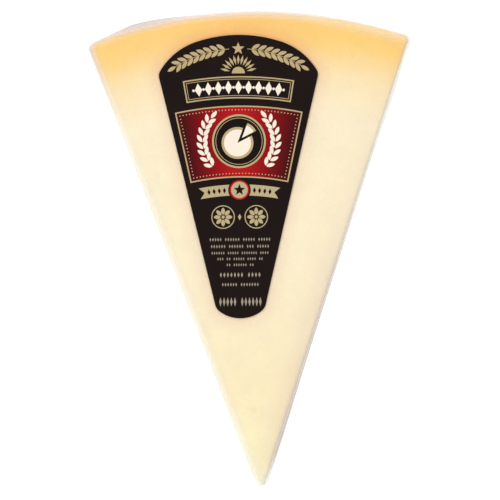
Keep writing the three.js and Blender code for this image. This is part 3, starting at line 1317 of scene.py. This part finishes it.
# The floor's width and how far it lies below the wedge, and the broad light's place, width and power.
FLOOR_ACROSS = 6
FLOOR_BELOW = 0.02 * MM
LIGHT_PLACE = (-0.85, 0.35, 1.6)
LIGHT_ACROSS = 1.5
LIGHT_POWER = 13.5

# The sky's brightness by height, from the horizon to straight overhead, and from left to right.
SKY_BY_HEIGHT = ((0.0, 0.75), (0.35, 0.75), (0.6, 0.9), (0.8, 1.1), (0.93, 0.8), (1.0, 0.45))
SKY_BY_SIDE = ((0.4, 1.0), (1.0, 0.75))


def build_floor():
    """A plain pale floor, just below the wedge, that glows a little so that shadows stay faint."""
    deselect()
    bpy.ops.mesh.primitive_plane_add(size=FLOOR_ACROSS, location=(0, 0, -FLOOR_BELOW))
    floor = bpy.context.object
    floor.name = "floor"
    made, flow = material("pale_floor")
    pale = finishes().floor
    speck = noise(object_place(flow), 3 * MM)
    surface = flow.node(
        "ShaderNodeBsdfPrincipled",
        inputs={
            "Base Color": blend(speck, scaled(pale, 0.98), pale),
            "Roughness": 0.9,
            "Specular IOR Level": 0.1,
            "Emission Color": (1, 1, 1),
            "Emission Strength": 0.85,
        },
    )
    show(flow, surface)
    floor.data.materials.append(made)


def build_light():
    """Soft light from all round, and one broad light at the upper left."""
    world = bpy.data.worlds.new("soft_surroundings")
    world.use_nodes = True
    world.node_tree.nodes.clear()
    flow = Flow(world.node_tree)
    toward = flow.node("ShaderNodeTexCoord", output="Generated")
    sky = ramp(along("Z", toward), SKY_BY_HEIGHT)
    strength = 1.16 * ramp(along("X", toward) * 0.5 + 0.5, SKY_BY_SIDE)
    background = flow.node("ShaderNodeBackground", inputs={"Color": sky, "Strength": strength})
    flow.node("ShaderNodeOutputWorld", inputs={"Surface": background})
    bpy.context.scene.world = world

    deselect()
    bpy.ops.object.light_add(type="AREA", location=LIGHT_PLACE)
    key = bpy.context.object
    key.name = "key_light"
    key.data.shape = "SQUARE"
    key.data.size = LIGHT_ACROSS
    key.data.energy = LIGHT_POWER
    key.visible_camera = False
    key.visible_glossy = False
    key.rotation_euler = (-key.location).to_track_quat("-Z", "Y").to_euler()


def build_camera():
    """Straight above the wedge, and so far off that its view is almost flat."""
    deselect()
    bpy.ops.object.camera_add()
    camera = bpy.context.object
    camera.name = "camera"
    camera.data.lens = LENS
    camera.data.sensor_width = SENSOR
    rise = VIEW_ACROSS * LENS / SENSOR
    camera.location = wheel_axis() + Vector((VIEW_RIGHT, VIEW_UP, VIEW_LEVEL * label_high.z + rise))
    camera.rotation_euler = (0, 0, VIEW_TURN)
    camera.data.clip_start = 0.05
    camera.data.clip_end = 20
    bpy.context.scene.camera = camera


def build_stage():
    bpy.context.scene.view_settings.view_transform = "Standard"
    build_floor()
    build_light()
    build_camera()


# ---- Operators ----


class CanUndo:
    """What the operators share."""

    bl_options = {"REGISTER", "UNDO"}


class WEDGE_OT_cheese(CanUndo, bpy.types.Operator):
    """Models the cheese inside the film, a little uneven and with a few dents"""

    bl_idname = "wedge.cheese"
    bl_label = "Cheese"

    def execute(self, context):
        build_cheese()
        return {"FINISHED"}


class WEDGE_OT_film(CanUndo, bpy.types.Operator):
    """Models the clear film as the sealed wedge's skin, with the weld's fin drawn out of its wall"""

    bl_idname = "wedge.film"
    bl_label = "Film"

    def execute(self, context):
        build_film()
        return {"FINISHED"}


class WEDGE_OT_label_sheet(CanUndo, bpy.types.Operator):
    """Gives the label's sheet its dark varnished ground"""

    bl_idname = "wedge.label_sheet"
    bl_label = "Label sheet"

    def execute(self, context):
        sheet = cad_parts["label"]
        made = label_finish()
        for slot in sheet.material_slots:
            slot.material = made
        return {"FINISHED"}


class WEDGE_OT_garland(CanUndo, bpy.types.Operator):
    """Prints a sprig of laurel to each side of a star, and the sun that rises over the plaque"""

    bl_idname = "wedge.garland"
    bl_label = "Garland"

    def execute(self, context):
        build_garland()
        return {"FINISHED"}


class WEDGE_OT_plaque(CanUndo, bpy.types.Operator):
    """Prints a heavy and a thin rule round a row of lozenges and beads"""

    bl_idname = "wedge.plaque"
    bl_label = "Plaque"

    def execute(self, context):
        build_plaque()
        return {"FINISHED"}


class WEDGE_OT_panel(CanUndo, bpy.types.Operator):
    """Prints the red panel, with a rule along its edge and a row of beads inside that"""

    bl_idname = "wedge.panel"
    bl_label = "Red panel"

    def execute(self, context):
        build_panel()
        return {"FINISHED"}


class WEDGE_OT_emblem(CanUndo, bpy.types.Operator):
    """Prints a cheese wheel with a piece drawn out of it, in two rings, and ears of wheat round them"""

    bl_idname = "wedge.emblem"
    bl_label = "Emblem"

    def execute(self, context):
        build_emblem()
        return {"FINISHED"}


class WEDGE_OT_ribbon(CanUndo, bpy.types.Operator):
    """Prints a ribbon with lozenges along it, and a star on a round boss at its middle"""

    bl_idname = "wedge.ribbon"
    bl_label = "Ribbon"

    def execute(self, context):
        build_ribbon()
        return {"FINISHED"}


class WEDGE_OT_rosettes(CanUndo, bpy.types.Operator):
    """Prints two rosettes of petals in a hoop, with a lozenge between them"""

    bl_idname = "wedge.rosettes"
    bl_label = "Rosettes"

    def execute(self, context):
        build_rosettes()
        return {"FINISHED"}


class WEDGE_OT_small_print(CanUndo, bpy.types.Operator):
    """Prints rows of small lozenges, and one row of larger ones at the label's foot"""

    bl_idname = "wedge.small_print"
    bl_label = "Small print"

    def execute(self, context):
        build_small_print()
        return {"FINISHED"}


class WEDGE_OT_stage(CanUndo, bpy.types.Operator):
    """Sets the pale floor, the soft light and the camera"""

    bl_idname = "wedge.stage"
    bl_label = "Stage"

    def execute(self, context):
        build_stage()
        return {"FINISHED"}


OPERATORS = (
    WEDGE_OT_cheese,
    WEDGE_OT_film,
    WEDGE_OT_label_sheet,
    WEDGE_OT_garland,
    WEDGE_OT_plaque,
    WEDGE_OT_panel,
    WEDGE_OT_emblem,
    WEDGE_OT_ribbon,
    WEDGE_OT_rosettes,
    WEDGE_OT_small_print,
    WEDGE_OT_stage,
)


class VIEW3D_PT_wedge(bpy.types.Panel):
    """Lists the pieces in the order in which they are made"""

    bl_label = "Sealed cheese wedge"
    bl_space_type = "VIEW_3D"
    bl_region_type = "UI"
    bl_category = "Wedge"

    def draw(self, context):
        for operator in OPERATORS:
            self.layout.operator(operator.bl_idname)


GROUPS = {"wedge_sizes": WedgeSizes, "label_sizes": LabelSizes, "wedge_finishes": Finishes}
CLASSES = (*GROUPS.values(), *OPERATORS, VIEW3D_PT_wedge)


def register():
    for each in CLASSES:
        bpy.utils.register_class(each)
    for name, group in GROUPS.items():
        setattr(bpy.types.Scene, name, PointerProperty(type=group))


def unregister():
    for name in GROUPS:
        delattr(bpy.types.Scene, name)
    for each in reversed(CLASSES):
        bpy.utils.unregister_class(each)


def main():
    register()
    bpy.ops.wedge.cheese()
    bpy.ops.wedge.film()
    bpy.ops.wedge.label_sheet()
    bpy.ops.wedge.garland()
    bpy.ops.wedge.plaque()
    bpy.ops.wedge.panel()
    bpy.ops.wedge.emblem()
    bpy.ops.wedge.ribbon()
    bpy.ops.wedge.rosettes()
    bpy.ops.wedge.small_print()
    bpy.ops.wedge.stage()


if __name__ == "__main__":
    main()
